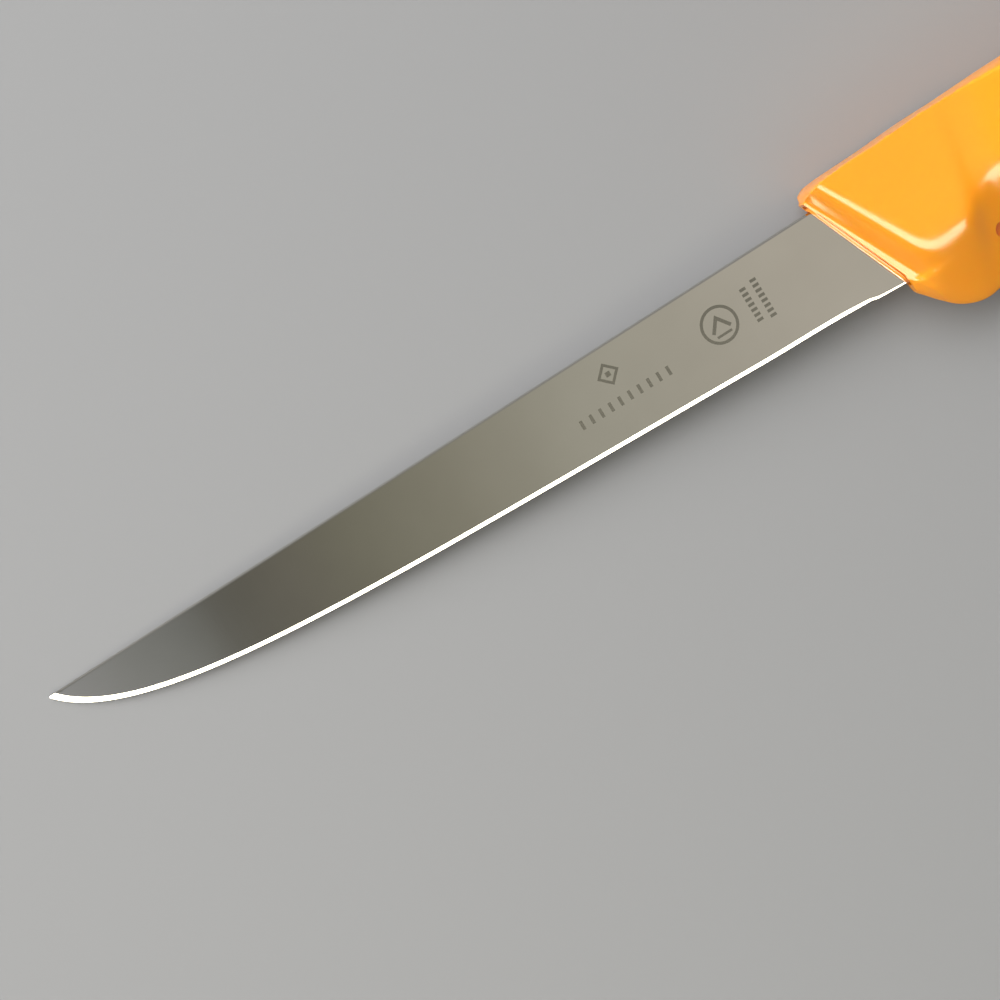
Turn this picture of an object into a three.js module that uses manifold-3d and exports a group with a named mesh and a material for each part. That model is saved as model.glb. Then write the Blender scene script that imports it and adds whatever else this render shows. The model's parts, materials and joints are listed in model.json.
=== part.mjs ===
// A butcher's straight boning knife: an 18 cm blade and a moulded plastic handle with a guard.
//
// Everything is drawn in the knife's own axes, in millimetres. x runs along the spine from the point
// of the blade (negative) to the butt of the handle (positive), y runs from the cutting edge
// (negative) to the spine (zero), and z runs through the thickness. Their origin is the place where
// the spine meets the handle, midway through the thickness.
//
// At the end the knife is laid on its side, as on a table. It touches the table at the belly of the
// handle and at the point of the blade, so it slopes a few degrees down towards the point.

import * as THREE from 'three';
import { mergeVertices } from 'three/addons/utils/BufferGeometryUtils.js';
import Module from 'manifold-3d';

const wasm = await Module();
wasm.setup();

// ---- Driving dimensions ---------------------------------------------------------------------

// Blade
const spineReach = 169.8; // from the handle to the point, along the spine
const heel = new THREE.Vector2(9.3, -21.3); // where the cutting edge meets the handle
const spineHalf = 1.1; // half of the thickness of the spine at the handle
const taperToPoint = 0.0033; // how fast the flat sides close in along the blade
const taperToEdge = 0.039; // and across it
const edgeHalf = 0.03; // half of the thickness of the finest part of the edge
const edgeBevel = 0.7; // width of the sharpened bevel
const pointBevel = 1.25; // which is wider round the point
const heelBevel = 0.22; // and narrow just in front of the handle
const sharpStart = 14; // over this much of the edge it grows to its full width
const bevelSlope = Math.tan(THREE.MathUtils.degToRad(20.5)); // the steepest that the bevel gets
const flatterToPoint = 0.0004; // and how much less steep it gets along the blade
const spineClear = 0.1; // the bevel ends at least this far below the spine
const rootEnd = 13; // the blade's full height ends here, inside the handle

// Tang, the narrow part of the blade's steel that the handle is moulded on
const tangHalf = 1;
const tangEnd = 92;
const tangTop = -1.5;
const tangBottom = -14.5;
const tangHoleR = 2.6;
const tangHoles = [32, 54, 76];
const tangOverlap = 3; // length over which the tang and the root of the blade are one

// Handle
const slant = THREE.MathUtils.degToRad(22.6); // lean of the handle's front, away from square
const collarHalf = 2.4; // half of the thickness of the collar round the blade
const collarLip = 0.8; // slope of the collar's rim
const collarFront = 0.7; // how far it starts behind the line where the handle begins
const collarBack = 12; // and how deep it reaches into the grip
const collarTop = 1.2; // its height, from above the spine
const collarBottom = -22; // to below the edge
const collarRim = 0.25; // how far the mouth of the grip stands out beyond it
const cheekHalf = 8.6; // half of the thickness between the two flat cheeks
const gripFront = 1.35; // how far the grip starts behind the line where the handle begins
const landRise = 0.32; // rise of the land round the mouth of the grip
const landRiseUnder = 0.92; // and below the heel, where it turns into the guard
const landTop = 0.4; // width of the land at the spine
const landHeel = 1.5; // and at the heel
const shoulderTop = 1.75; // length of the slope from there up to the cheek, at the spine
const shoulderHeel = 3; // and at the heel
const shoulderBend = 0.25; // roundness of the bend between the land and the shoulder
const cheekEnd = 22.5; // where the flat cheek ends, at the height cheekLow
const cheekLow = -20;
const cheekLean = 0.18; // lean of that end, away from square
const hollowMiddle = 5; // the middle of a shallow hollow lies this far behind the cheek
const hollowFront = 2.5; // length of its front
const hollowBack = 12; // and of its gentler back
const hollowDepth = 0.2; // its depth at the spine
const hollowDeepening = 0.022; // and how fast it gets deeper towards the edge
const swellStart = 9; // the swell up to the belly starts this far behind the cheek
const guardBulge = 0.8; // how far the front of the guard bulges forward
const coreHalf = 4.4; // half of the thickness of the core's body
const coreRim = 2; // slope round its faces
// Blind hole left by a pin that held the core in the mould: where the guard's surface is, and its depth
const pinHole = { x: 29.8, y: -22.2, r: 1.65, surface: 4.4, depth: 3.4 };

const gap = 0.3; // between pieces that touch

// ---- Helpers --------------------------------------------------------------------------------

const point = (x, y) => new THREE.Vector2(x, y);

// How far a place lies behind the slanted line where the handle begins.
const behindFront = (x, y) => x * Math.cos(slant) + y * Math.sin(slant);

// The place at a height y that lies `behind` that line.
const onSlant = (behind, y) => point((behind - y * Math.sin(slant)) / Math.cos(slant), y);

// max(value, 0) with its corner rounded off, and the smaller of two lengths with theirs rounded off.
const rampUp = (value, round) => (value + Math.hypot(value, round)) / 2;
const softMin = (a, b, sharpness) => (
  a * b / Math.max(a ** sharpness + b ** sharpness, 1e-200) ** (1 / sharpness)
);

function toSolid(geometry) {
  geometry.deleteAttribute('normal');
  geometry.deleteAttribute('uv');
  const merged = mergeVertices(geometry, 1e-4);
  return new wasm.Manifold(new wasm.Mesh({
    numProp: 3,
    vertProperties: new Float32Array(merged.attributes.position.array),
    triVerts: new Uint32Array(merged.index.array),
  }));
}

function toGeometry(solid) {
  const mesh = solid.getMesh();
  const geometry = new THREE.BufferGeometry();
  geometry.setAttribute('position', new THREE.BufferAttribute(mesh.vertProperties, 3));
  geometry.setIndex(new THREE.BufferAttribute(mesh.triVerts, 1));
  geometry.computeVertexNormals();
  return geometry;
}

// A plate with a drawn outline, centred on the knife's middle plane. The rims of its two faces slope
// in by `rim`, and `grow` makes the whole plate larger all round.
function plate(shape, half, rim, grow) {
  const geometry = new THREE.ExtrudeGeometry(shape, {
    depth: 2 * (half - rim),
    bevelEnabled: rim + grow > 0,
    bevelThickness: rim + grow,
    bevelSize: rim,
    bevelOffset: grow - rim,
    bevelSegments: 1,
    curveSegments: 8,
  });
  geometry.translate(0, 0, rim - half);
  return toSolid(geometry);
}

// ---- Blade ----------------------------------------------------------------------------------

// The cutting edge: hidden in the handle, then nearly straight, then sweeping up to the point.
function edgePath(grow) {
  const bellyPull = point(-98, -15.8);
  const pointPull = point(-155.6, -17.6);
  const tip = point(-spineReach, -0.3);
  const lean = (heel.y - bellyPull.y) / (heel.x - bellyPull.x);
  const rootX = rootEnd + grow;
  const root = point(rootX, heel.y + lean * (rootX - heel.x));
  const path = new THREE.CurvePath();
  path.add(new THREE.LineCurve(root, heel));
  path.add(new THREE.CubicBezierCurve(heel, bellyPull, pointPull, tip));
  return path;
}

// Width of the sharpened bevel: it widens round the point and narrows just before the handle.
function bevelWidth(x) {
  const towardsPoint = Math.exp(-(x + spineReach) / 12);
  const fromHeel = THREE.MathUtils.smoothstep(heel.x - x, 0, sharpStart);
  const sharpened = THREE.MathUtils.lerp(edgeBevel, pointBevel, towardsPoint);
  return THREE.MathUtils.lerp(heelBevel, sharpened, fromHeel);
}

// Both sides of the blade are flat planes, closing in towards the point and towards the edge.
const sideHalf = (x, y) => spineHalf + taperToPoint * Math.min(x, 0) + taperToEdge * Math.min(y, 0);

// A box whose length is bent along the edge. Its three rows are the spine, the top of the bevel and
// the edge.
function bladeBody(grow) {
  const steps = 44;
  const geometry = new THREE.BoxGeometry(1, 1, 1, steps, 2, 1);
  const position = geometry.attributes.position;
  const path = edgePath(grow);
  for (let i = 0; i < position.count; i++) {
    const fromPoint = position.getX(i) + 0.5;
    const fromSpine = 0.5 - position.getY(i);
    const side = Math.sign(position.getZ(i));
    const along = 1 - fromPoint ** 1.5;
    const edge = path.getPoint(along);
    const heading = path.getTangent(along);
    const inward = point(heading.y, -heading.x);
    const slope = bevelSlope + flatterToPoint * Math.min(edge.x, 0);
    const bevel = bevelWidth(edge.x);
    const bevelTop = edge.clone().addScaledVector(inward, bevel);
    const edgeThick = Math.max(edgeHalf, sideHalf(bevelTop.x, bevelTop.y) - slope * bevel);
    const toSpine = inward.y > 0 ? (-spineClear - edge.y) / inward.y : bevel;
    const width = Math.min(bevel, toSpine);
    const thick = edgeThick + slope * width;
    bevelTop.copy(edge).addScaledVector(inward, width);
    if (fromSpine > 0.75) {
      edge.addScaledVector(inward, -grow);
      position.setXYZ(i, edge.x, edge.y, side * (edgeThick + grow));
    } else {
      const y = fromSpine < 0.25 ? grow : bevelTop.y;
      const half = width < bevel ? Math.min(sideHalf(bevelTop.x, y), thick) : sideHalf(bevelTop.x, y);
      position.setXYZ(i, bevelTop.x, y, side * (half + grow));
    }
  }
  return toSolid(geometry);
}

function tang(grow) {
  const endR = (tangTop - tangBottom) / 2;
  const shape = new THREE.Shape();
  shape.moveTo(rootEnd - tangOverlap, tangTop);
  shape.lineTo(rootEnd - tangOverlap, tangBottom - 4);
  shape.lineTo(rootEnd, tangBottom - 4);
  shape.quadraticCurveTo(rootEnd + 2, tangBottom, rootEnd + 9, tangBottom);
  shape.lineTo(tangEnd - endR, tangBottom);
  shape.absarc(tangEnd - endR, tangTop - endR, endR, -Math.PI / 2, Math.PI / 2, false);
  for (const x of tangHoles) {
    shape.holes.push(new THREE.Path().absarc(x, tangTop - endR, tangHoleR, 0, 2 * Math.PI, true));
  }
  return plate(shape, tangHalf, 0, grow);
}

const bladeAndTang = (grow) => bladeBody(grow).add(tang(grow));

// ---- Handle core ----------------------------------------------------------------------------

// The collar is the rim that shows round the blade where it enters the handle.
function collar(grow) {
  const shape = new THREE.Shape([
    onSlant(collarFront, collarBottom),
    onSlant(collarBack, collarBottom),
    onSlant(collarBack, collarTop),
    onSlant(collarFront, collarTop),
  ]);
  return plate(shape, collarHalf, collarLip, grow);
}

function coreBody(grow) {
  const shape = new THREE.Shape();
  shape.moveTo(12, 2);
  shape.lineTo(15, -19.5);
  shape.quadraticCurveTo(17, -22.5, 22, -22);
  shape.quadraticCurveTo(26, -20, 34, -17);
  shape.absarc(98, -10.5, 9, -Math.PI / 2, Math.PI / 2, false);
  shape.lineTo(60, 2);
  return plate(shape, coreHalf, coreRim, grow);
}

const coreBlank = (grow) => collar(grow).add(coreBody(grow));

// ---- Handle grip ----------------------------------------------------------------------------

// Sections of the grip from front to butt. Each runs from a place on the top of the handle to a place
// on its underside. The section keeps its full half thickness between two crest heights and rounds
// off above and below them.
const sections = [
  { top: [0.3, 1.9], under: [11.3, -24.2], half: 8.6, crests: [1.78, -15.5] },
  { top: [1.6, 3.3], under: [14.9, -29.1], half: 8.6, crests: [3.18, -16.4] },
  { top: [3.9, 4.15], under: [18.4, -31.4], half: 8.6, crests: [4.03, -17] },
  { top: [7, 4.4], under: [22.3, -32.2], half: 8.6, crests: [4.28, -17.4] },
  { top: [16, 4.6], under: [27.8, -30.8], half: 9, crests: [4.45, -16.8] },
  { top: [30, 5.15], under: [35.5, -27], half: 10, crests: [4.9, -11.5] },
  { top: [46, 5.5], under: [46, -24], half: 11.2, crests: [4, -15] },
  { top: [64, 5.1], under: [64, -24.6], half: 12, crests: [-2, -14.5] },
  { top: [84, 3.9], under: [82, -26.4], half: 12.2, crests: [-4.8, -15] },
  { top: [102, 2.3], under: [99, -25.6], half: 11.6, crests: [-7.5, -14] },
  { top: [117, 0.2], under: [113, -25.6], half: 11, crests: [-9.5, -14.5] },
  { top: [128, -3], under: [126, -29.8], half: 10.2, crests: [-13, -17] },
  { top: [135, -9.5], under: [133.5, -30], half: 7, crests: [-18, -20] },
  { top: [137.5, -20], under: [137.5, -20], half: 0, crests: [-20, -20] },
];

const throughSections = (pick) => new THREE.CatmullRomCurve3(
  sections.map((section) => new THREE.Vector3(...pick(section))),
  false,
  'centripetal',
);
const topLine = throughSections(({ top }) => [...top, 0]);
const underLine = throughSections(({ under }) => [...under, 0]);
const fullness = throughSections(({ half, crests }) => [half, ...crests]);

// How far a section has rounded off, from 0 on its flat side to 1 at the outline. `inset` is the
// distance in from the outline, as a share of the distance to the crest.
const roundOff = (inset) => (rampUp(1 - inset, 0.15) / rampUp(1, 0.15)) ** 2.1;

// The cheeks end at a slanted line. Behind it lies the hollow, and then the sides swell out to the
// belly of the handle.
const behindCheek = (x, y) => x - cheekEnd - (y - cheekLow) * cheekLean;
const swell = (x, y) => 1 - Math.exp(-rampUp(behindCheek(x, y) - swellStart, 2) / 9);

function hollow(x, y) {
  const past = behindCheek(x, y) - hollowMiddle;
  const length = past < 0 ? hollowFront : hollowBack;
  return (hollowDepth - hollowDeepening * y) * Math.exp(-((past / length) ** 2));
}

// A side that starts out upright at the outline and then slopes evenly up to the crest.
const bevelled = (inset) => Math.sqrt(Math.max(inset * (0.12 + 0.88 * inset), 0));

// Round the collar there is a narrow land that rises gently. Behind it the shoulder slopes up to the
// cheek. Both are longer towards the heel.
function shoulder(x, y) {
  const belowHeel = THREE.MathUtils.smoothstep(-y, 21, 22.4);
  const rise = THREE.MathUtils.lerp(landRise, landRiseUnder, belowHeel);
  const land = THREE.MathUtils.mapLinear(y, 1, -17, landTop, landHeel);
  const length = THREE.MathUtils.mapLinear(y, 1, -17, shoulderTop, shoulderHeel);
  const behind = behindFront(x, y) - gripFront;
  const frontEdge = collarHalf + collarRim + rise * behind;
  return frontEdge + (cheekHalf - collarHalf - 1) * rampUp(behind - land, shoulderBend) / length;
}

// Half of the grip's thickness at a place on one of its sections. The front of the handle has flat
// cheeks with bevelled edges, and the rest of it is rounded.
function gripHalf(along, x, y, topY, underY) {
  const { x: half, y: crestTop, z: crestUnder } = fullness.getPoint(along);
  const swollen = half > cheekHalf ? swell(x, y) : 1;
  const full = Math.max(cheekHalf + (half - cheekHalf) * swollen - hollow(x, y), 0);
  const fromTop = (topY - y) / Math.max(topY - crestTop, 0.01);
  const fromUnder = (y - underY) / Math.max(crestUnder - underY, 0.01);
  const edged = softMin(softMin(full, full * bevelled(fromTop), 10), full * bevelled(fromUnder), 18);
  const rounded = full * Math.sqrt(Math.max((1 - roundOff(fromTop)) * (1 - roundOff(fromUnder)), 0));
  const side = THREE.MathUtils.lerp(edged, rounded, THREE.MathUtils.smoothstep(along, 0.37, 0.5));
  return softMin(side, shoulder(x, y), 4);
}

// A sphere whose rings become the sections. The first ring is the flat front round the collar.
function gripBlank() {
  const around = 44;
  const rings = 48;
  const geometry = new THREE.SphereGeometry(1, around, rings);
  const position = geometry.attributes.position;
  for (let ring = 0; ring <= rings; ring++) {
    const along = Math.max(ring - 1, 0) / (rings - 1);
    const top = topLine.getPoint(along);
    const under = underLine.getPoint(along);
    for (let column = 0; column <= around; column++) {
      const angle = 2 * Math.PI * column / around;
      const down = ring === 0 ? 0.5 : (1 + Math.cos(angle)) / 2;
      const bulge = guardBulge * THREE.MathUtils.smoothstep(down, 0.88, 1) * Math.max(1 - along * 16, 0);
      const x = THREE.MathUtils.lerp(top.x, under.x, down) - bulge;
      const y = THREE.MathUtils.lerp(top.y, under.y, down);
      const half = ring === 0 ? 0 : gripHalf(along, x, y, top.y, under.y);
      const side = Math.sign(Math.round(Math.sin(angle) * 1e6));
      position.setXYZ(ring * (around + 1) + column, x, y, side * half);
    }
  }
  return toSolid(geometry);
}

// A blind hole in each side of the guard, sunk from the surface.
function withPinHoles(solid) {
  const clear = 6;
  const length = pinHole.depth + clear;
  for (const side of [-1, 1]) {
    const geometry = new THREE.CylinderGeometry(pinHole.r, pinHole.r, length, 16);
    geometry.rotateX(Math.PI / 2);
    geometry.translate(pinHole.x, pinHole.y, side * (pinHole.surface - pinHole.depth + length / 2));
    solid = solid.subtract(toSolid(geometry));
  }
  return solid;
}

// ---- The knife ------------------------------------------------------------------------------

const steel = new THREE.MeshStandardMaterial({ color: 0x97938a, roughness: 0.25, metalness: 1 });
const corePlastic = new THREE.MeshStandardMaterial({ color: 0xf0a83c, roughness: 0.35, metalness: 0 });
const gripPlastic = new THREE.MeshStandardMaterial({ color: 0xf0b230, roughness: 0.35, metalness: 0 });

function piece(name, solid, material) {
  const mesh = new THREE.Mesh(toGeometry(solid), material);
  mesh.name = name;
  return mesh;
}

const blade = piece('blade', bladeAndTang(0), steel);
const core = piece('handle_core', coreBlank(0).subtract(bladeAndTang(gap)), corePlastic);
const grip = piece('handle_grip', withPinHoles(gripBlank().subtract(coreBlank(gap))), gripPlastic);

const knife = new THREE.Group();
knife.add(blade, core, grip);

// The lowest corner of a piece, measured square to the table, once the knife slopes by an angle.
function lowest(mesh, slope) {
  const position = mesh.geometry.attributes.position;
  let low = Infinity;
  for (let i = 0; i < position.count; i++) {
    low = Math.min(low, position.getX(i) * Math.sin(slope) + position.getZ(i) * Math.cos(slope));
  }
  return low;
}

// The slope at which the point of the blade comes down to the height of the handle's belly.
function restingSlope() {
  let flat = 0;
  let steep = THREE.MathUtils.degToRad(10);
  for (let halving = 0; halving < 30; halving++) {
    const slope = (flat + steep) / 2;
    if (lowest(blade, slope) > lowest(grip, slope)) {
      flat = slope;
    } else {
      steep = slope;
    }
  }
  return flat;
}

// The knife slopes down to its point, stands on z = 0, and is centred on the origin.
knife.rotation.y = -restingSlope();
const lying = new THREE.Group();
lying.add(knife);
lying.updateMatrixWorld(true);
const box = new THREE.Box3().setFromObject(lying, true);
const middle = box.getCenter(new THREE.Vector3());
lying.position.set(-middle.x, -middle.y, -box.min.z);

export default lying;
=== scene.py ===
"""A butcher's straight boning knife lying on its side: steel blade, moulded yellow handle.

The knife is drawn in its own axes, in millimetres: x along the spine from the point (negative) to the
butt (positive), y from the cutting edge (negative) to the spine (zero), z through the thickness. The
origin is where the spine meets the handle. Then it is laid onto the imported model's place.
"""

import json
import math

import bpy
import bmesh
import numpy as np
from mathutils import Matrix, Vector


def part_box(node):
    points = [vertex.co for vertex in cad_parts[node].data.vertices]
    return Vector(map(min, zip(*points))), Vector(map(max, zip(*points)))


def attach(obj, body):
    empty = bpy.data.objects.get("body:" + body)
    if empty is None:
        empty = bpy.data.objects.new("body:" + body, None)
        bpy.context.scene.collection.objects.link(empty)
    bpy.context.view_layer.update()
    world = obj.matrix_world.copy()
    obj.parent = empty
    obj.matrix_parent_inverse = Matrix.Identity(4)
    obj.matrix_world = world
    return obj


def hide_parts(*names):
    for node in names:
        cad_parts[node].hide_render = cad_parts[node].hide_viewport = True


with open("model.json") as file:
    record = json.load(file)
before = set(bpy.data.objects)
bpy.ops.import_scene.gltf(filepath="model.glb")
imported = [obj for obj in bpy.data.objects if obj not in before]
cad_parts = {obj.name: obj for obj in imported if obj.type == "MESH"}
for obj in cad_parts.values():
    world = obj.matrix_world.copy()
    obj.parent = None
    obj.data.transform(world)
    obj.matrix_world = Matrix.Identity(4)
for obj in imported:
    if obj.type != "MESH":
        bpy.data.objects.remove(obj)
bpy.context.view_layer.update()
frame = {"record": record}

MM = 0.001

# ---- Driving dimensions, in millimetres -----------------------------------------------------

SPINE_REACH = 169.8  # from the handle to the point, along the spine
TIP_BELOW = 0.3  # how far the point lies below the line of the spine
HEEL = np.array((9.3, -21.3))  # where the cutting edge meets the handle
SPINE_HALF = 1.1
TAPER_TO_POINT = 0.0033
TAPER_TO_EDGE = 0.039
EDGE_HALF = 0.03
EDGE_BEVEL = 0.7
POINT_BEVEL = 1.25
POINT_BEVEL_FADE = 12  # how slowly it narrows behind the point
HEEL_BEVEL = 0.22
SHARP_START = 14
BEVEL_SLOPE = math.tan(math.radians(20.5))
FLATTER_TO_POINT = 0.0004
SPINE_CLEAR = 0.1  # the bevel ends at least this far below the spine
ROOT_END = 13
SPINE_ROUND = 0.6
HEEL_STEP = 0.3  # how much of the edge is ground away in front of the handle
ETCH_PROUD = 0.006
ETCH_DEPTH = 0.02

TANG_HALF = 1
TANG_END = 92
TANG_TOP = -1.5
TANG_BOTTOM = -14.5
TANG_HOLE_R = 2.6
TANG_HOLES = (32, 54, 76)
TANG_OVERLAP = 3  # length over which the tang and the root of the blade are one

SLANT = math.radians(22.6)
COLLAR_HALF = 2.4
COLLAR_TOP = 1.2
COLLAR_BOTTOM = -22
COLLAR_BACK = 12
COLLAR_RIM = 0.25  # how far the mouth of the grip stands out beyond the collar
CHEEK_HALF = 8.6
GRIP_FRONT = 1.35
LAND_RISE = 0.32
LAND_RISE_MORE = 0.6  # added to the rise below the heel
LAND_STEEPENS = (21, 22.4)  # how far below the spine that starts, and how far down it is complete
LAND_TOP = 0.4
LAND_HEEL = 1.5
SHOULDER_TOP = 1.75
SHOULDER_HEEL = 3
SHOULDER_BEND = 0.25
CHEEK_END = 22.5
CHEEK_LOW = -20
CHEEK_LEAN = 0.18
HOLLOW_MIDDLE = 5
HOLLOW_FRONT = 2.5
HOLLOW_BACK = 12
HOLLOW_DEPTH = 0.2
HOLLOW_DEEPENING = 0.022
SWELL_START = 9
SWELL_BEND = 2
SWELL_LENGTH = 9
GUARD_BULGE = 0.8  # how far the front of the guard bulges forward
GUARD_BULGE_FROM = 0.88  # it starts this share of the way down the front
GUARD_BULGE_FADE = 16  # and has faded out one part in this many along the sections
TOP_CREASE = 10  # sharpness of the cheek's upper edge
UNDER_CREASE = 18  # of its lower edge
SHOULDER_CREASE = 4  # and of its front edge
ROUNDS_OFF = (0.37, 0.5)  # between these shares of the sections, the edged shape turns rounded
CORE_HALF = 4.4
CORE_RIM = 2
PIN_HOLE = {"x": 29.8, "y": -22.2, "r": 1.65, "surface": 4.4, "depth": 3.4}
GAP = 0.12  # the fine gap that shows between moulded pieces
STEEL_GAP = 0.1  # and between the steel and the core

# ---- Where the knife lies -------------------------------------------------------------------


def resting_slope():
    """How far the knife slopes down to its point, from the blade's two flat sides."""
    flats = {m["name"]: Vector(m["axis"]) for m in frame["record"]["mounts"]}
    middle = flats["blade_flat_up"] - flats["blade_flat_down"]
    return math.atan2(-middle.x, middle.z)


def resting_place():
    """From the knife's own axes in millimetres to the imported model's in metres."""
    turn = Matrix.Rotation(-resting_slope(), 4, "Y")
    low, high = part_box("blade")
    tip = turn @ (Vector((-SPINE_REACH, -TIP_BELOW, EDGE_HALF)) * MM)
    tang = turn @ (Vector((TANG_END, 0, TANG_HALF)) * MM)
    shift = Vector((low.x - tip.x, high.y, high.z - tang.z))
    return Matrix.Translation(shift) @ turn @ Matrix.Scale(MM, 4)


PLACE = resting_place()

# ---- Mesh helpers ---------------------------------------------------------------------------


def ramp_up(value, width):
    """max(value, 0) with its corner rounded off."""
    return (value + np.hypot(value, width)) / 2


def soft_min(a, b, sharpness):
    """The smaller of two lengths, blended where they are alike."""
    a = np.maximum(a, 1e-6)
    b = np.maximum(b, 1e-6)
    return a * b / (a**sharpness + b**sharpness) ** (1 / sharpness)


def smoothstep(value, low, high):
    t = np.clip((value - low) / (high - low), 0, 1)
    return t * t * (3 - 2 * t)


def behind_front(x, y):
    return x * math.cos(SLANT) + y * math.sin(SLANT)


def on_slant(behind, y):
    return ((behind - y * math.sin(SLANT)) / math.cos(SLANT), y)


def make_object(name, points, faces):
    mesh = bpy.data.meshes.new(name)
    mesh.from_pydata([tuple(float(c) for c in p) for p in points], [], faces)
    mesh.validate()
    piece = bpy.data.objects.new(name, mesh)
    bpy.context.scene.collection.objects.link(piece)
    return piece


def loft(name, rings):
    """A closed skin over rings of equally many points, capped flat at both ends."""
    count = len(rings[0])
    points = [p for ring in rings for p in ring]
    faces = []
    for r in range(len(rings) - 1):
        for i in range(count):
            j = (i + 1) % count
            faces.append((r * count + i, r * count + j, (r + 1) * count + j, (r + 1) * count + i))
    last = (len(rings) - 1) * count
    faces.append(tuple(reversed(range(count))))
    faces.append(tuple(range(last, last + count)))
    piece = make_object(name, points, faces)
    face_outwards(piece)
    return piece


def face_outwards(piece):
    skin = bmesh.new()
    skin.from_mesh(piece.data)
    bmesh.ops.remove_doubles(skin, verts=skin.verts, dist=1e-5)
    bmesh.ops.recalc_face_normals(skin, faces=skin.faces)
    skin.to_mesh(piece.data)
    skin.free()


def combine(piece, other, operation):
    """Cuts, joins or crosses a piece with another, which is used up."""
    step = piece.modifiers.new("combine", "BOOLEAN")
    step.operation = operation
    step.solver = "EXACT"
    step.object = other
    apply_modifiers(piece)
    bpy.data.objects.remove(other)
    return piece


def apply_modifiers(piece):
    bpy.context.view_layer.update()
    evaluated = piece.evaluated_get(bpy.context.evaluated_depsgraph_get())
    mesh = bpy.data.meshes.new_from_object(evaluated)
    piece.modifiers.clear()
    old = piece.data
    piece.data = mesh
    bpy.data.meshes.remove(old)


def smooth_by_angle(piece, degrees):
    """Smooth shading, with a crease kept wherever two faces meet at more than this angle."""
    skin = bmesh.new()
    skin.from_mesh(piece.data)
    for face in skin.faces:
        face.smooth = True
    limit = math.radians(degrees)
    for edge in skin.edges:
        if len(edge.link_faces) == 2:
            edge.smooth = edge.calc_face_angle(0) < limit
    skin.to_mesh(piece.data)
    skin.free()


def lay_down(piece, replaced):
    """Puts a piece drawn in the knife's axes in its place and hands it to the frame."""
    piece.data.transform(PLACE)
    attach(piece, "root")
    if replaced:
        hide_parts(replaced)


def spline(points, t):
    """Places along a smooth centripetal curve through points, for t from 0 to 1."""
    p = np.array(points, float)
    p = np.vstack([2 * p[0] - p[1], p, 2 * p[-1] - p[-2]])
    at = np.asarray(t, float) * (len(points) - 1)
    i = np.clip(at.astype(int), 0, len(points) - 2)
    w = (at - i)[:, None]
    a, b, c, d = p[i], p[i + 1], p[i + 2], p[i + 3]
    step = [np.sqrt(np.linalg.norm(q - r, axis=1))[:, None] for q, r in ((b, a), (c, b), (d, c))]
    s1 = np.where(step[1] < 1e-4, 1, step[1])
    s0 = np.where(step[0] < 1e-4, s1, step[0])
    s2 = np.where(step[2] < 1e-4, s1, step[2])
    m1 = ((b - a) / s0 - (c - a) / (s0 + s1) + (c - b) / s1) * s1
    m2 = ((c - b) / s1 - (d - b) / (s1 + s2) + (d - c) / s2) * s1
    return b + m1 * w + (3 * (c - b) - 2 * m1 - m2) * w**2 + (2 * (b - c) + m1 + m2) * w**3


# ---- Blade ----------------------------------------------------------------------------------


def edge_points(steps, grow=0):
    """Places along the cutting edge from the root to the point, and the way in to the blade."""
    root_steps = 40
    curve_steps = 2000
    crowding = 1.5  # above 1, the places get closer together towards the point
    belly_pull = np.array((-98, -15.8))
    point_pull = np.array((-155.6, -17.6))
    tip = np.array((-SPINE_REACH, -TIP_BELOW))
    lean = (HEEL[1] - belly_pull[1]) / (HEEL[0] - belly_pull[0])
    root = np.array((ROOT_END + grow, HEEL[1] + lean * (ROOT_END + grow - HEEL[0])))
    t = np.linspace(0, 1, curve_steps)[:, None]
    curve = (1 - t) ** 3 * HEEL + 3 * (1 - t) ** 2 * t * belly_pull
    curve = curve + 3 * (1 - t) * t * t * point_pull + t**3 * tip
    to_heel = np.linspace(0, 1, root_steps)[:-1, None]
    path = np.vstack([root + (HEEL - root) * to_heel, curve])
    length = np.concatenate([[0], np.cumsum(np.linalg.norm(np.diff(path, axis=0), axis=1))])
    wanted = length[-1] * (1 - np.linspace(1, 0, steps) ** crowding)
    place = np.stack([np.interp(wanted, length, path[:, i]) for i in (0, 1)], axis=1)
    ahead = np.gradient(path, length, axis=0)
    heading = np.stack([np.interp(wanted, length, ahead[:, i]) for i in (0, 1)], axis=1)
    heading /= np.linalg.norm(heading, axis=1)[:, None]
    return place, np.stack([heading[:, 1], -heading[:, 0]], axis=1)


def bevel_width(x):
    towards_point = np.exp(-(x + SPINE_REACH) / POINT_BEVEL_FADE)
    full = EDGE_BEVEL + (POINT_BEVEL - EDGE_BEVEL) * towards_point
    return HEEL_BEVEL + (full - HEEL_BEVEL) * sharpened(x)


def sharpened(x):
    """How fully the edge is sharpened: 0 just in front of the handle, 1 along the rest."""
    return smoothstep(HEEL[0] - x, 0, SHARP_START)


def ground_away(x):
    """Sharpening takes a little off the edge, which leaves a small step in front of the handle."""
    starts, full = -22, -4
    ends, gone = 2, 4
    return HEEL_STEP * smoothstep(x, starts, full) * (1 - smoothstep(x, ends, gone))


def side_half(x, y):
    return SPINE_HALF + TAPER_TO_POINT * min(x, 0) + TAPER_TO_EDGE * min(y, 0)


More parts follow.
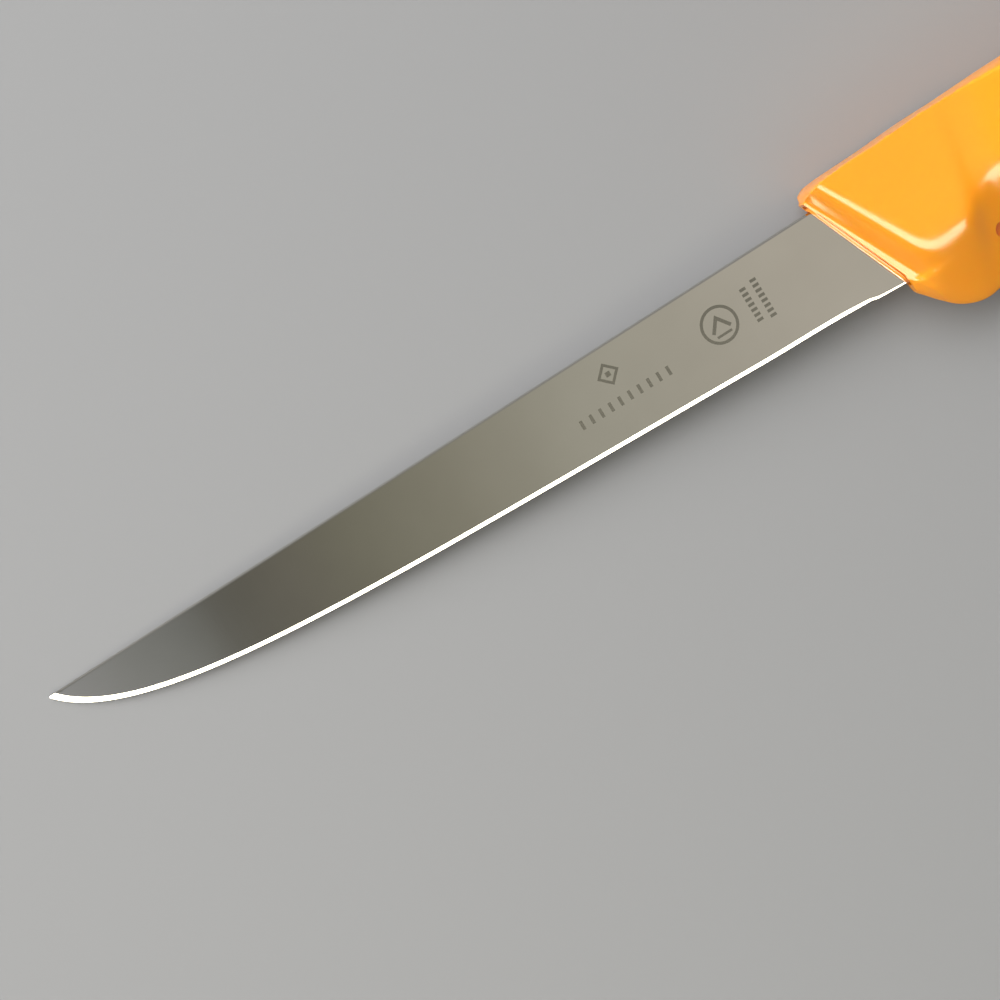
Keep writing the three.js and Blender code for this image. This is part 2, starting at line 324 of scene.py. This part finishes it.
def blade_body(grow=0):
    """Rings along the edge: each goes up one side, round the spine and down the other side."""
    hair = 0.001  # near the point, the flat side is no thicker than the top of the bevel and this
    spine_share = 0.4  # the spine's rounding takes at most this share of the flat side's height
    rings = []
    for edge, inward in zip(*edge_points(180, grow)):
        edge = edge + inward * ground_away(edge[0])
        slope = BEVEL_SLOPE + FLATTER_TO_POINT * min(edge[0], 0)
        full = bevel_width(edge[0])
        edge_half = max(EDGE_HALF, side_half(*(edge + inward * full)) - slope * full)
        width = min(full, (-SPINE_CLEAR - edge[1]) / inward[1]) if inward[1] > 0 else full
        thickest = edge_half + slope * width + hair if width < full else SPINE_HALF
        top = edge + inward * width
        edge = edge - inward * grow
        corner = min(SPINE_ROUND, -top[1] * spine_share)
        top_half = min(side_half(*top), thickest)
        half = [(edge[0], edge[1], edge_half + grow), (top[0], top[1], top_half + grow)]
        for turn in np.linspace(0, math.pi / 2, 9):
            y = grow - corner * (1 - math.sin(turn))
            inset = corner * (1 - math.cos(turn))
            half.append((top[0], y, min(side_half(top[0], y), thickest) + grow - inset))
        rings.append(half + [(x, y, -z) for x, y, z in reversed(half)])
    return loft("blade_body", rings)


def plate(name, outline, half, rim=0):
    """A flat closed plate with a drawn outline; the rims of its faces slope in by `rim`."""
    inner = inset_outline(outline, rim) if rim else outline
    levels = [(-half, inner), (half, inner)]
    if rim:
        levels = [(-half, inner), (rim - half, outline), (half - rim, outline), (half, inner)]
    return loft(name, [[(x, y, z) for x, y in ring] for z, ring in levels])


def inset_outline(outline, distance):
    """An outline moved in (or out, if negative) along the normals of its corners."""
    p = np.array(outline)
    ahead = np.roll(p, -1, 0) - p
    ahead /= np.linalg.norm(ahead, axis=1)[:, None]
    behind = np.roll(ahead, 1, 0)
    normal = np.stack([-ahead[:, 1], ahead[:, 0]], 1)
    other = np.stack([-behind[:, 1], behind[:, 0]], 1)
    middle = normal + other
    middle /= (1 + (normal * other).sum(1))[:, None]
    return p + middle * distance


def arc(centre, radius, start, end, steps=16):
    return [
        (centre[0] + radius * math.cos(a), centre[1] + radius * math.sin(a))
        for a in np.radians(np.linspace(start, end, steps))
    ]


def cylinder(name, x, y, radius, low, high, sides=48):
    ring = arc((x, y), radius, 0, 360, sides + 1)[:-1]
    return loft(name, [[(px, py, z) for px, py in ring] for z in (low, high)])


def bend(start, pull, end, steps=8):
    """Points along a quadratic curve, without its first point."""
    a, b, c = (np.array(p, float) for p in (start, pull, end))
    along = np.linspace(0, 1, steps + 1)[1:]
    return [tuple((1 - t) ** 2 * a + 2 * (1 - t) * t * b + t * t * c) for t in along]


def tang(grow=0):
    end_r = (TANG_TOP - TANG_BOTTOM) / 2
    start = ROOT_END - TANG_OVERLAP
    root_bottom = TANG_BOTTOM - 4
    outline = [(start, TANG_TOP), (start, root_bottom), (ROOT_END, root_bottom)]
    outline += bend(outline[-1], (ROOT_END + 2, TANG_BOTTOM), (ROOT_END + 9, TANG_BOTTOM))
    outline += arc((TANG_END - end_r, TANG_TOP - end_r), end_r, -90, 90)
    piece = plate("tang", inset_outline(outline, -grow), TANG_HALF + grow)
    for x in TANG_HOLES:
        hole = cylinder("hole", x, TANG_TOP - end_r, TANG_HOLE_R - grow, -5, 5)
        combine(piece, hole, "DIFFERENCE")
    return piece


def blade_and_tang(grow=0):
    return combine(blade_body(grow), tang(grow), "UNION")


# ---- Handle core ----------------------------------------------------------------------------


def stadium(behind, half, top, bottom, steps=10):
    """A long rounded loop in the slanted plane of the handle's front."""
    loop = []
    for turn in np.linspace(0, math.pi, steps):
        loop.append((top - half + half * math.sin(turn), half * math.cos(turn)))
    for turn in np.linspace(math.pi, 2 * math.pi, steps):
        loop.append((bottom + half + half * math.sin(turn), half * math.cos(turn)))
    return [(*on_slant(behind, y), z) for y, z in loop]


def collar_loft(name, profile):
    """Loops round the blade: each is (how far behind the front, how much larger than the collar)."""
    loops = []
    for behind, more in profile:
        loops.append(stadium(behind, COLLAR_HALF + more, COLLAR_TOP + more, COLLAR_BOTTOM - more))
    return loft(name, loops)


def collar(grow=0):
    """The rim round the blade: a small rounded front edge, then a land that slopes gently back."""
    lip = [(0.7, -0.8), (0.72, -0.68), (0.78, -0.58), (0.88, -0.5), (1.2, -0.36)]
    lip += [(1.26, -0.5), (1.34, -0.7), (1.5, -0.7), (1.7, 0)]
    return collar_loft("collar", [(s - grow, more + grow) for s, more in lip] + [(COLLAR_BACK + grow, grow)])


def core_body(grow=0):
    outline = [(12, 2), (15, -19.5)]
    outline += bend(outline[-1], (17, -22.5), (22, -22))
    outline += bend(outline[-1], (26, -20), (34, -17))
    outline += arc((98, -10.5), 9, -90, 90)
    outline += [(60, 2)]
    return plate("core_body", inset_outline(outline, -grow), CORE_HALF + grow, CORE_RIM)


def core_blank(grow=0):
    return combine(core_body(grow), collar(grow), "UNION")


# ---- Handle grip ----------------------------------------------------------------------------

# From front to butt: a place on the handle's top, one on its underside, the half thickness, and the
# two heights between which the section keeps it.
SECTIONS = (
    ((0.3, 1.9), (11.3, -24.2), 8.6, (1.78, -15.5)),
    ((1.6, 3.3), (14.9, -29.1), 8.6, (3.18, -16.4)),
    ((3.9, 4.15), (18.4, -31.4), 8.6, (4.03, -17)),
    ((7, 4.4), (22.3, -32.2), 8.6, (4.28, -17.4)),
    ((16, 4.6), (27.8, -30.8), 9, (4.45, -16.8)),
    ((30, 5.15), (35.5, -27), 10, (4.9, -11.5)),
    ((46, 5.5), (46, -24), 11.2, (4, -15)),
    ((64, 5.1), (64, -24.6), 12, (-2, -14.5)),
    ((84, 3.9), (82, -26.4), 12.2, (-4.8, -15)),
    ((102, 2.3), (99, -25.6), 11.6, (-7.5, -14)),
    ((117, 0.2), (113, -25.6), 11, (-9.5, -14.5)),
    ((128, -3), (126, -29.8), 10.2, (-13, -17)),
    ((135, -9.5), (133.5, -30), 7, (-18, -20)),
    ((137.5, -20), (137.5, -20), 0, (-20, -20)),
)


def round_off(inset):
    """How far a section has rounded off, from 0 on its flat side to 1 at its outline."""
    softness = 0.15
    power = 2.1
    return (ramp_up(1 - inset, softness) / ramp_up(1, softness)) ** power


def bevelled(inset):
    """A side that starts out upright at the outline and then slopes evenly up to the crest."""
    upright = 0.12
    return np.sqrt(np.maximum(inset * (upright + (1 - upright) * inset), 0))


def shoulder(x, y):
    """The slope from the collar up to the cheek, which is longer towards the heel."""
    high, low = 1, -17
    to_heel = (high - y) / (high - low)
    land = LAND_TOP + (LAND_HEEL - LAND_TOP) * to_heel
    length = SHOULDER_TOP + (SHOULDER_HEEL - SHOULDER_TOP) * to_heel
    behind = behind_front(x, y) - GRIP_FRONT
    rise = LAND_RISE + LAND_RISE_MORE * smoothstep(-y, *LAND_STEEPENS)
    front_edge = COLLAR_HALF + COLLAR_RIM + rise * behind
    climb = CHEEK_HALF - COLLAR_HALF - 1
    return front_edge + climb * ramp_up(behind - land, SHOULDER_BEND) / length


def behind_cheek(x, y):
    """How far a place lies behind the slanted line where the flat cheek ends."""
    return x - CHEEK_END - (y - CHEEK_LOW) * CHEEK_LEAN


def swell(x, y):
    """How far the sides have swelled out from the cheeks to the belly, from 0 to 1."""
    return 1 - np.exp(-ramp_up(behind_cheek(x, y) - SWELL_START, SWELL_BEND) / SWELL_LENGTH)


def hollow(x, y):
    """A shallow hollow behind the cheek, deeper towards the finger guard."""
    past = behind_cheek(x, y) - HOLLOW_MIDDLE
    length = np.where(past < 0, HOLLOW_FRONT, HOLLOW_BACK)
    return (HOLLOW_DEPTH - HOLLOW_DEEPENING * y) * np.exp(-((past / length) ** 2))


def grip_blank(rings=220, around=144):
    """The grip without its mouth and pin holes, as loops from the front to the butt."""
    along = np.linspace(0, 1, rings)
    top = spline([s[0] for s in SECTIONS], along)
    under = spline([s[1] for s in SECTIONS], along)
    full = spline([(s[2], *s[3]) for s in SECTIONS], along)
    roundness = smoothstep(along, *ROUNDS_OFF)
    loops = []
    for i in range(rings):
        angle = 2 * math.pi * np.arange(around) / around
        down = (1 + np.cos(angle)) / 2
        fade = max(1 - along[i] * GUARD_BULGE_FADE, 0)
        bulge = GUARD_BULGE * smoothstep(down, GUARD_BULGE_FROM, 1) * fade
        x = top[i, 0] + (under[i, 0] - top[i, 0]) * down - bulge
        y = top[i, 1] + (under[i, 1] - top[i, 1]) * down
        half, crest_top, crest_under = full[i]
        from_top = (top[i, 1] - y) / max(top[i, 1] - crest_top, 0.01)
        from_under = (y - under[i, 1]) / max(crest_under - under[i, 1], 0.01)
        reach = CHEEK_HALF + (half - CHEEK_HALF) * (swell(x, y) if half > CHEEK_HALF else 1)
        reach = np.maximum(reach - hollow(x, y), 0)
        edged = soft_min(reach, reach * bevelled(from_top), TOP_CREASE)
        edged = soft_min(edged, reach * bevelled(from_under), UNDER_CREASE)
        rounded = reach * np.sqrt(np.maximum((1 - round_off(from_top)) * (1 - round_off(from_under)), 0))
        side = edged + (rounded - edged) * roundness[i]
        half_thickness = soft_min(side, shoulder(x, y), SHOULDER_CREASE)
        z = half_thickness * np.sign(np.round(np.sin(angle), 6))
        loops.append(list(zip(x, y, z)))
    return loft("handle_grip", loops)


def grip():
    """The grip with a mouth that flares at the front, a hollow for the core and two blind pin holes."""
    piece = grip_blank()
    edge = COLLAR_RIM
    clear = 3
    turns = np.linspace(0, math.pi / 2, 6)
    flare = [(GRIP_FRONT - clear, edge), (GRIP_FRONT, edge)]
    flare += [(GRIP_FRONT + edge * math.sin(a), GAP + edge * (1 - math.sin(a))) for a in turns]
    mouth = collar_loft("mouth", flare + [(COLLAR_BACK + GAP, GAP)])
    combine(piece, combine(core_body(GAP), mouth, "UNION"), "DIFFERENCE")
    hole_floor = PIN_HOLE["surface"] - PIN_HOLE["depth"]
    beyond_side = 12
    for side in (-1, 1):
        low, high = sorted((side * hole_floor, side * beyond_side))
        pin = cylinder("pin", PIN_HOLE["x"], PIN_HOLE["y"], PIN_HOLE["r"], low, high)
        combine(piece, pin, "DIFFERENCE")
    return piece


# ---- Etched marks ---------------------------------------------------------------------------


def ribbon(path, width, closed=False):
    """A flat stripe of etching along a path on the blade's upper side, barely above the steel."""
    p = np.array(path, float)
    ahead = np.roll(p, -1, 0) - p
    behind = p - np.roll(p, 1, 0)
    if not closed:
        ahead[-1] = behind[-1]
        behind[0] = ahead[0]
    ahead /= np.linalg.norm(ahead, axis=1)[:, None]
    behind /= np.linalg.norm(behind, axis=1)[:, None]
    middle = ahead + behind
    middle /= (middle * ahead).sum(1)[:, None]
    across = np.stack([-middle[:, 1], middle[:, 0]], 1) * width / 2
    rings = []
    for centre, out in zip(p, across):
        left, right = centre + out, centre - out
        rings.append([
            (*left, side_half(*left) - ETCH_DEPTH),
            (*left, side_half(*left) + ETCH_PROUD),
            (*right, side_half(*right) + ETCH_PROUD),
            (*right, side_half(*right) - ETCH_DEPTH),
        ])
    return rings


def ticks(count, start, step, stroke, width):
    """A row of short equal strokes."""
    strokes = []
    for i in range(count):
        foot = np.array(start) + np.array(step) * i
        strokes.append((ribbon([foot, foot + np.array(stroke)], width), False))
    return strokes


def etched_marks():
    """A diamond over a row of strokes, and a ring with a chevron beside two smaller rows."""
    diamond = [(-47.7 + 2 * math.cos(a), -5.4 + 2 * math.sin(a)) for a in np.radians((0, 90, 180, 270))]
    ring = arc((-24.8, -8.9), 3.5, 0, 360, 49)[:-1]
    chevron = [(-26.7, -10), (-24.8, -7.4), (-22.9, -10)]
    marks = [(ribbon(diamond, 0.55, True), True), (ribbon(ring, 0.6, True), True)]
    marks.append((ribbon(chevron, 0.7), False))
    marks += ticks(1, (-48.2, -5.4), (0, 0), (1, 0), 1)
    marks += ticks(10, (-56.9, -12), (2.15, 0), (0, 1.9), 0.65)
    marks += ticks(1, (-26.4, -10.9), (0, 0), (3.2, 0), 0.5)
    marks += ticks(7, (-18.3, -5.6), (0, -1.1), (1.3, 0), 0.6)
    marks += ticks(8, (-15.7, -5.1), (0, -1.1), (1.3, 0), 0.6)
    points = []
    faces = []
    for rings, closed in marks:
        base = len(points)
        points += [p for ring_points in rings for p in ring_points]
        spans = len(rings) if closed else len(rings) - 1
        for r in range(spans):
            here, there = base + 4 * r, base + 4 * ((r + 1) % len(rings))
            faces += [(here + i, here + (i + 1) % 4, there + (i + 1) % 4, there + i) for i in range(4)]
        if not closed:
            last = base + 4 * (len(rings) - 1)
            faces += [(base, base + 3, base + 2, base + 1), (last, last + 1, last + 2, last + 3)]
    piece = make_object("blade_marks", points, faces)
    face_outwards(piece)
    return piece


# ---- Materials ------------------------------------------------------------------------------


def new_material(name):
    material = bpy.data.materials.new(name)
    material.use_nodes = True
    return material, material.node_tree.nodes, material.node_tree.links


def noise(nodes, links, scale, detail, stretch=(1, 1, 1), turn=(0, 0, 0)):
    """A noise pattern fixed to the piece, with cells of about 1 / scale metres."""
    place = nodes.new("ShaderNodeTexCoord")
    mapping = nodes.new("ShaderNodeMapping")
    mapping.inputs["Scale"].default_value = stretch
    mapping.inputs["Rotation"].default_value = turn
    pattern = nodes.new("ShaderNodeTexNoise")
    pattern.inputs["Scale"].default_value = scale
    pattern.inputs["Detail"].default_value = detail
    links.new(place.outputs["Object"], mapping.inputs["Vector"])
    links.new(mapping.outputs["Vector"], pattern.inputs["Vector"])
    return pattern.outputs["Fac"]


def between(nodes, links, value, low, high, source=(0.3, 0.7)):
    """A pattern's values, spread over a range."""
    step = nodes.new("ShaderNodeMapRange")
    step.inputs["From Min"].default_value, step.inputs["From Max"].default_value = source
    step.inputs["To Min"].default_value = low
    step.inputs["To Max"].default_value = high
    links.new(value, step.inputs["Value"])
    return step.outputs["Result"]


def mixed(nodes, links, value, first, second):
    """One colour turning into another as a pattern rises from 0 to 1."""
    mix = nodes.new("ShaderNodeMix")
    mix.data_type = "RGBA"
    mix.inputs[6].default_value = (*first, 1)
    mix.inputs[7].default_value = (*second, 1)
    links.new(value, mix.inputs["Factor"])
    return mix.outputs[2]


def bumped(nodes, links, height, strength, distance):
    bump = nodes.new("ShaderNodeBump")
    bump.inputs["Strength"].default_value = strength
    bump.inputs["Distance"].default_value = distance
    links.new(height, bump.inputs["Height"])
    return bump.outputs["Normal"]


def steel_material():
    """Finely ground stainless steel: faint grinding lines run from the spine to the edge."""
    material, nodes, links = new_material("blade_steel")
    shader = nodes["Principled BSDF"]
    shader.inputs["Metallic"].default_value = 1
    lines = noise(nodes, links, scale=4500, detail=3, stretch=(1, 0.015, 0.015))
    clouds = noise(nodes, links, scale=60, detail=4)
    tone = between(nodes, links, clouds, 0, 1)
    links.new(mixed(nodes, links, tone, (0.60, 0.58, 0.53), (0.64, 0.62, 0.57)), shader.inputs["Base Color"])
    links.new(between(nodes, links, lines, 0.075, 0.085), shader.inputs["Roughness"])
    links.new(bumped(nodes, links, lines, strength=0.03, distance=0.0000003), shader.inputs["Normal"])
    return material


def etched_material():
    """Steel darkened and roughened by etching."""
    material, nodes, links = new_material("etched_steel")
    dark = (0.16, 0.155, 0.14)
    light = (0.22, 0.213, 0.19)
    shader = nodes["Principled BSDF"]
    shader.inputs["Metallic"].default_value = 1
    grain = noise(nodes, links, scale=5000, detail=2)
    links.new(mixed(nodes, links, grain, dark, light), shader.inputs["Base Color"])
    shader.inputs["Roughness"].default_value = 0.24
    return material


def plastic_material(name, light, deep, roughness):
    """Moulded nylon that lets a little light through, with the faint ripple of its mould."""
    material, nodes, links = new_material(name)
    shader = nodes["Principled BSDF"]
    shader.inputs["Subsurface Weight"].default_value = 0.3
    shader.inputs["Subsurface Radius"].default_value = (1, 0.35, 0.08)
    shader.inputs["Subsurface Scale"].default_value = 0.0006
    shader.inputs["IOR"].default_value = 1.55
    tone = between(nodes, links, noise(nodes, links, scale=45, detail=3), 0, 1)
    links.new(mixed(nodes, links, tone, deep, light), shader.inputs["Base Color"])
    ripple = noise(nodes, links, scale=260, detail=2)
    links.new(between(nodes, links, ripple, roughness - 0.02, roughness + 0.03), shader.inputs["Roughness"])
    links.new(bumped(nodes, links, ripple, strength=0.12, distance=0.0001), shader.inputs["Normal"])
    return material


# ---- Build ----------------------------------------------------------------------------------

blade = blade_and_tang()
blade.name = "blade_fine"
smooth_by_angle(blade, degrees=2.5)
blade.data.materials.append(steel_material())
lay_down(blade, "blade")

marks = etched_marks()
marks.data.materials.append(etched_material())
lay_down(marks, None)

core = combine(core_blank(), blade_and_tang(STEEL_GAP), "DIFFERENCE")
core.name = "core_fine"
smooth_by_angle(core, degrees=30)
core_light, core_deep = (0.85, 0.27, 0.02), (0.84, 0.262, 0.019)
core.data.materials.append(plastic_material("core_plastic", core_light, core_deep, 0.2))
lay_down(core, "handle_core")

handle = grip()
handle.name = "grip_fine"
smooth_by_angle(handle, degrees=40)
grip_light, grip_deep = (0.85, 0.30, 0.01), (0.845, 0.292, 0.009)
handle.data.materials.append(plastic_material("grip_plastic", grip_light, grip_deep, 0.19))
lay_down(handle, "handle_grip")

# ---- Camera, floor and light ----------------------------------------------------------------


def look(position, right, up, back):
    camera_data = bpy.data.cameras.new("camera")
    camera = bpy.data.objects.new("camera", camera_data)
    bpy.context.scene.collection.objects.link(camera)
    turn = Matrix((right, up, back)).transposed().to_4x4()
    camera.matrix_world = Matrix.Translation(position) @ turn
    camera_data.lens = 76
    camera_data.sensor_width = 36
    camera_data.clip_start = 0.01
    bpy.context.scene.camera = camera


def photo_camera():
    """Almost straight above the blade, a little to the spine's side and towards the point."""
    distance = 0.4008
    to_spine = math.radians(5.5)
    to_point = math.radians(-2.8)
    back = Vector((
        math.sin(to_point),
        math.sin(to_spine) * math.cos(to_point),
        math.cos(to_spine) * math.cos(to_point),
    ))
    along = Vector((1, 0, 0))
    along = (along - along.dot(back) * back).normalized()
    across = back.cross(along)
    turn = math.radians(32.77)
    right = math.cos(turn) * along - math.sin(turn) * across
    up = math.sin(turn) * along + math.cos(turn) * across
    aim = Vector((-77.73, -14.59, 0.5))  # just above the flat of the blade, in the knife's own axes
    target = PLACE @ aim
    look(target + back * distance, right, up, back)


photo_camera()

FLOOR_REACH = 9  # metres from the middle, far enough for the low views
corners = [(x * FLOOR_REACH, y * FLOOR_REACH, 0) for x, y in ((-1, -1), (1, -1), (1, 1), (-1, 1))]
floor = make_object("floor", corners, [(0, 1, 2, 3)])
floor_material, floor_nodes, _ = new_material("floor")
floor_nodes["Principled BSDF"].inputs["Base Color"].default_value = (0.218, 0.218, 0.219, 1)
floor_nodes["Principled BSDF"].inputs["Roughness"].default_value = 0.7
floor.data.materials.append(floor_material)


def softbox(name, azimuth, elevation, distance, size, radiance, colour=(1, 1, 1), roll=0):
    """A rectangular light facing the knife; radiance is how bright its face is."""
    data = bpy.data.lights.new(name, "AREA")
    data.color = colour
    data.shape = "RECTANGLE"
    data.size, data.size_y = size
    data.energy = radiance * math.pi * size[0] * size[1]
    light = bpy.data.objects.new(name, data)
    a, e = math.radians(azimuth), math.radians(elevation)
    away = Vector((math.cos(e) * math.cos(a), math.cos(e) * math.sin(a), math.sin(e)))
    facing = away.to_track_quat("Z", "Y").to_matrix().to_4x4() @ Matrix.Rotation(math.radians(roll), 4, "Z")
    light.matrix_world = Matrix.Translation(away * distance) @ facing
    light.visible_camera = False
    bpy.context.scene.collection.objects.link(light)
    return light


key = softbox("key", azimuth=128, elevation=44, distance=1.2, size=(2, 1.4), radiance=5.1)
key.visible_glossy = False
warm = (1, 0.97, 0.8)
rim = softbox("rim", -115.5, 55.5, distance=1, size=(1.44, 0.45), radiance=10.5, colour=warm, roll=8)
rim.visible_diffuse = False

# What the flat of the blade mirrors straight overhead, from above its point to above its heel: each
# stop is the slope of the view from overhead, and the light there.
OVERHEAD = (
    (-0.30, (0.42, 0.43, 0.46)),
    (-0.256, (0.30, 0.31, 0.315)),
    (-0.212, (0.22, 0.23, 0.23)),
    (-0.205, (0.125, 0.124, 0.112)),
    (-0.157, (0.18, 0.172, 0.147)),
    (-0.128, (0.23, 0.225, 0.18)),
    (-0.069, (0.33, 0.32, 0.265)),
    (0, (0.48, 0.47, 0.41)),
    (0.13, (0.61, 0.575, 0.515)),
)


def studio():
    """A studio with a ceiling that is darker towards the point of the knife.

    Its walls are darker on the cutting edge's side, but stay pale all round near the floor.
    """
    wall_pale = 0.36
    wall_dark = 0.05
    wall_heights = (0.25, 0.55)  # between these, the pale foot of the walls ends
    ceiling_heights = (0.86, 0.92)  # and between these, the ceiling begins
    world = bpy.data.worlds.new("studio")
    bpy.context.scene.world = world
    world.use_nodes = True
    nodes, links = world.node_tree.nodes, world.node_tree.links
    way = nodes.new("ShaderNodeTexCoord")
    split = nodes.new("ShaderNodeSeparateXYZ")
    slope = nodes.new("ShaderNodeMath")
    slope.operation = "DIVIDE"
    links.new(way.outputs["Generated"], split.inputs["Vector"])
    links.new(split.outputs["X"], slope.inputs[0])
    links.new(split.outputs["Z"], slope.inputs[1])
    first, last = OVERHEAD[0][0], OVERHEAD[-1][0]
    ramp = nodes.new("ShaderNodeValToRGB")
    links.new(between(nodes, links, slope.outputs["Value"], 0, 1, (first, last)), ramp.inputs["Fac"])
    stops = ramp.color_ramp.elements
    while len(stops) < len(OVERHEAD):
        stops.new(0.5)
    for stop, (where, colour) in zip(stops, OVERHEAD):
        stop.position = (where - first) / (last - first)
        stop.color = (*colour, 1)
    overhead = between(nodes, links, split.outputs["Z"], 0, 1, ceiling_heights)
    mix = nodes.new("ShaderNodeMix")
    mix.data_type = "RGBA"
    links.new(overhead, mix.inputs["Factor"])
    walls = nodes.new("ShaderNodeMath")
    walls.operation = "MAXIMUM"
    links.new(between(nodes, links, split.outputs["Y"], wall_dark, wall_pale, (-1, 1)), walls.inputs[0])
    links.new(between(nodes, links, split.outputs["Z"], wall_pale, wall_dark, wall_heights), walls.inputs[1])
    links.new(walls.outputs["Value"], mix.inputs[6])
    links.new(ramp.outputs["Color"], mix.inputs[7])
    links.new(mix.outputs[2], nodes["Background"].inputs["Color"])
    nodes["Background"].inputs["Strength"].default_value = 1


studio()

bpy.context.scene.view_settings.view_transform = "Standard"
